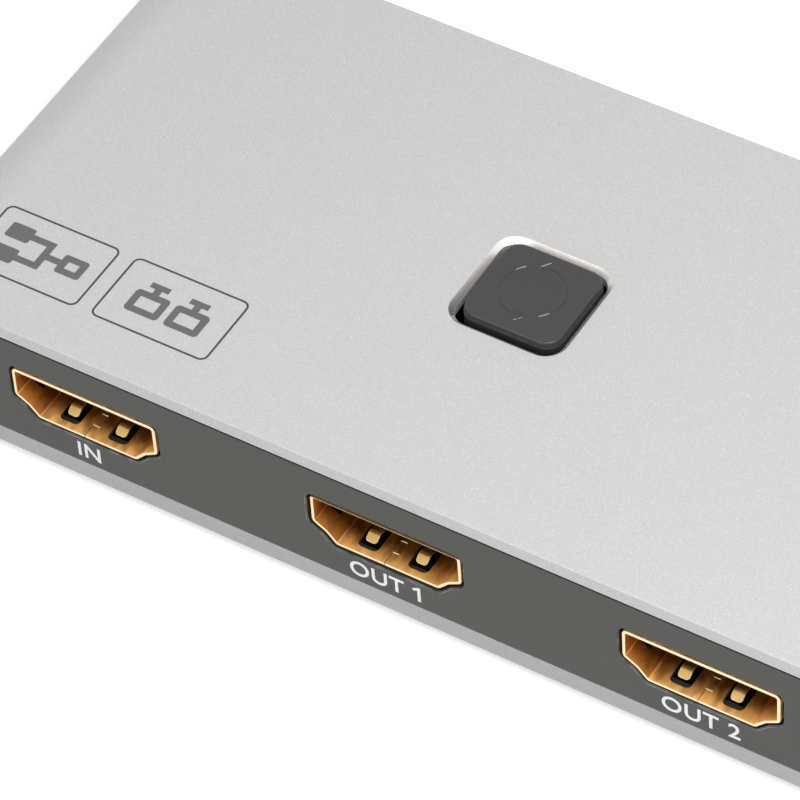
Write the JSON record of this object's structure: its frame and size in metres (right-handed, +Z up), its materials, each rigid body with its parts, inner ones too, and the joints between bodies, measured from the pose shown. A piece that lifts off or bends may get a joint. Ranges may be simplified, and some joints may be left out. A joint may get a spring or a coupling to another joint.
{
  "type": "video splitter",
  "caption": "Slim box that repeats one video source on two displays: aluminium sleeve, dark panels, gold-plated sockets and a square select button on top.",
  "frame": {"origin": "under the middle of the case, on the surface that the feet rest on", "axes": "+X along the row of sockets, -Y out of the video sockets, +Y out of the power inlet, +Z up through the button"},
  "size_m": [0.1046, 0.0496, 0.0171],
  "materials": {
    "sleeve": "fine bead-blasted, clear anodised",
    "foot_rubber": "matte black",
    "panel": "satin dark grey",
    "screw": "black zinc",
    "gold_shell": "gold plated",
    "black_insulator": "moulded black",
    "gold_contact": "gold flashed",
    "button": "satin dark grey",
    "plunger": "moulded black",
    "steel": "nickel plated",
    "tinned_lead": "tinned",
    "board": "solder mask",
    "chip": "moulded black",
    "heat_pad": "soft grey-blue",
    "heat_sink": "black anodised",
    "ferrite": "pressed ferrite",
    "can": "bare drawn can",
    "ceramic": "fired ceramic",
    "resistor": "glazed",
    "lamp": "clear potted",
    "light_pipe": "clear moulded",
    "label_ink": "white print",
    "badge_ink": "grey print"
  },
  "bodies": {
    "case": {"case_sleeve": "sleeve", "rubber_feet": "foot_rubber", "socket_panel": "panel", "power_panel": "panel", "socket_panel_screws": "screw", "power_panel_screws": "screw", "in_socket_shell": "gold_shell", "in_socket_insulator": "black_insulator", "in_socket_contacts": "gold_contact", "out_1_socket_shell": "gold_shell", "out_1_socket_insulator": "black_insulator", "out_1_socket_contacts": "gold_contact", "out_2_socket_shell": "gold_shell", "out_2_socket_insulator": "black_insulator", "out_2_socket_contacts": "gold_contact", "circuit_board": "board", "switch_housing": "black_insulator", "switch_cover": "steel", "switch_dome": "steel", "switch_terminals": "tinned_lead", "power_inlet_shell": "steel", "power_inlet_insulator": "black_insulator", "power_inlet_contacts": "gold_contact", "splitter_chip": "chip", "splitter_chip_leads": "tinned_lead", "heat_pad": "heat_pad", "heat_sink": "heat_sink", "controller_chip": "chip", "controller_chip_leads": "tinned_lead", "memory_chips": "chip", "memory_chip_leads": "tinned_lead", "voltage_regulator": "chip", "regulator_leads": "tinned_lead", "power_inductor": "ferrite", "can_capacitors": "can", "can_bases": "black_insulator", "clock_crystal": "steel", "surge_arrays": "chip", "ceramic_capacitors": "ceramic", "resistors": "resistor", "indicator_lamps": "lamp", "light_pipes": "light_pipe"},
    "button": {"select_button": "button", "switch_plunger": "plunger"}
  },
  "joints": [
    {"name": "button_press", "type": "slide", "parent": "case", "child": "button", "axis": [0, 0, -1], "range_m": [0, 0.0005], "stiffness_N_per_m": 2000, "deforming": ["switch_dome"]}
  ]
}
